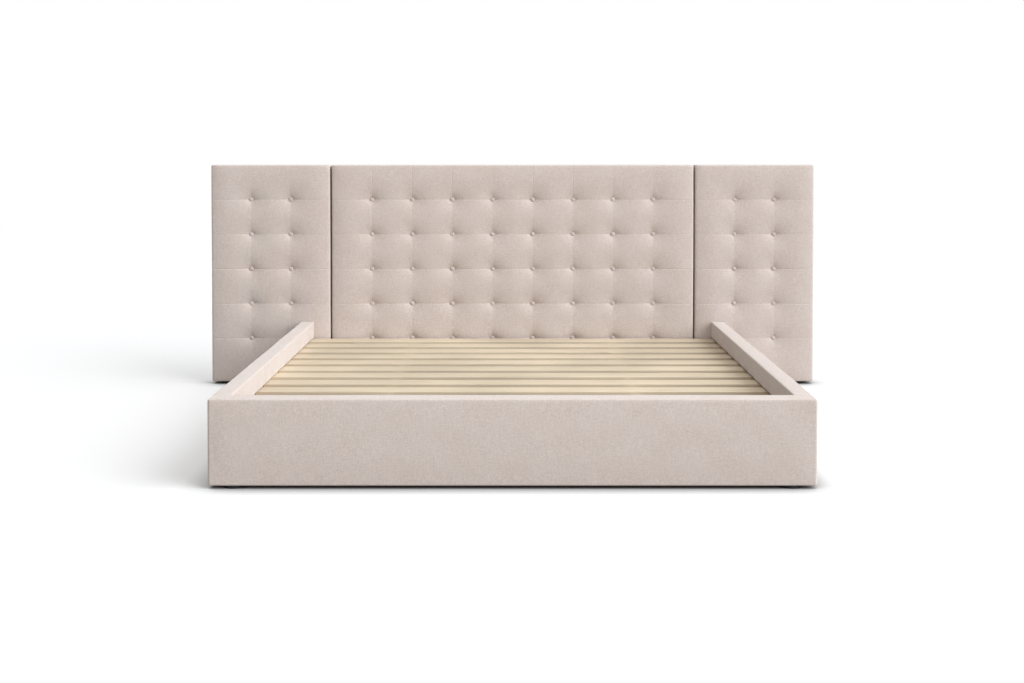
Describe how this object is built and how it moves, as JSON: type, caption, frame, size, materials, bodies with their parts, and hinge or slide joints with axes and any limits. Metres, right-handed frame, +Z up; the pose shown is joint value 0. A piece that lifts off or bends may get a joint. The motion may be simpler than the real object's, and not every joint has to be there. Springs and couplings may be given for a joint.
{
  "type": "upholstered bed frame",
  "caption": "King bed frame with a wide button-tufted headboard in panels, padded side and foot rails, a slatted deck on a centre beam, and screw levellers under the beam's legs.",
  "frame": {"origin": "on the floor, in the middle of the bed's footprint", "axes": "+X to the right seen from the foot end, +Y from the foot end to the headboard, +Z up"},
  "size_m": [2.984, 2.224, 1.088],
  "materials": {
    "upholstery": "fine woven beige cloth",
    "dust_cloth": "black non-woven cloth",
    "webbing": "woven strap",
    "slat_pine": "planed pine",
    "softwood": "sawn softwood",
    "plywood": "plywood",
    "black_steel": "black powder coat",
    "zinc_steel": "zinc plated",
    "black_plastic": "moulded plastic"
  },
  "bodies": {
    "bed": {"beam_hanger_foot": "black_steel", "beam_hanger_head": "black_steel", "centre_beam": "black_steel", "corner_bracket_foot_left": "black_steel", "corner_bracket_foot_right": "black_steel", "corner_bracket_head_left": "black_steel", "corner_bracket_head_right": "black_steel", "foot_rail_box": "plywood", "foot_rail_cover": "upholstery", "frame_bolts": "zinc_steel", "front_feet": "black_plastic", "head_rail": "softwood", "headboard_bolts": "zinc_steel", "headboard_centre_board": "plywood", "headboard_centre_buttons": "upholstery", "headboard_centre_dust_cover": "dust_cloth", "headboard_centre_frame": "softwood", "headboard_centre_pad": "upholstery", "headboard_feet": "black_plastic", "headboard_left_wing_board": "plywood", "headboard_left_wing_buttons": "upholstery", "headboard_left_wing_dust_cover": "dust_cloth", "headboard_left_wing_frame": "softwood", "headboard_left_wing_pad": "upholstery", "headboard_right_wing_board": "plywood", "headboard_right_wing_buttons": "upholstery", "headboard_right_wing_dust_cover": "dust_cloth", "headboard_right_wing_frame": "softwood", "headboard_right_wing_pad": "upholstery", "headboard_spacers": "zinc_steel", "joining_plates": "zinc_steel", "ledger_left": "softwood", "ledger_right": "softwood", "leg_plug_foot": "black_plastic", "leg_plug_head": "black_plastic", "rail_feet": "black_plastic", "side_rail_core_left": "softwood", "side_rail_core_right": "softwood", "side_rail_cover_left": "upholstery", "side_rail_cover_right": "upholstery", "slat_01": "slat_pine", "slat_02": "slat_pine", "slat_03": "slat_pine", "slat_04": "slat_pine", "slat_05": "slat_pine", "slat_06": "slat_pine", "slat_07": "slat_pine", "slat_08": "slat_pine", "slat_09": "slat_pine", "slat_10": "slat_pine", "slat_11": "slat_pine", "slat_12": "slat_pine", "slat_webbing": "webbing", "support_leg_foot": "black_steel", "support_leg_head": "black_steel", "wood_screws": "zinc_steel"},
    "leveller_pad_foot": {"leveller_pad_foot": "black_plastic"},
    "leveller_pad_head": {"leveller_pad_head": "black_plastic"},
    "leveller_stem_foot": {"leveller_stem_foot": "zinc_steel"},
    "leveller_stem_head": {"leveller_stem_head": "zinc_steel"}
  },
  "joints": [
    {"name": "leveller_foot_lift", "type": "slide", "parent": "bed", "child": "leveller_pad_foot", "axis": [0, 0, 1], "range_m": [-0.01, 0.008]},
    {"name": "leveller_foot_turn", "type": "hinge", "parent": "leveller_pad_foot", "child": "leveller_stem_foot", "pos_m": [0, -0.35, 0.01], "axis": [0, 0, 1], "range_deg": [-2430, 1950]},
    {"name": "leveller_head_lift", "type": "slide", "parent": "bed", "child": "leveller_pad_head", "axis": [0, 0, 1], "range_m": [-0.01, 0.008]},
    {"name": "leveller_head_turn", "type": "hinge", "parent": "leveller_pad_head", "child": "leveller_stem_head", "pos_m": [0, 0.35, 0.01], "axis": [0, 0, 1], "range_deg": [-2430, 1950]}
  ],
  "couplings": [
    {"joint": "leveller_foot_turn", "follows": "leveller_foot_lift", "rad_per_m": 4188.8},
    {"joint": "leveller_head_turn", "follows": "leveller_head_lift", "rad_per_m": 4188.8}
  ]
}
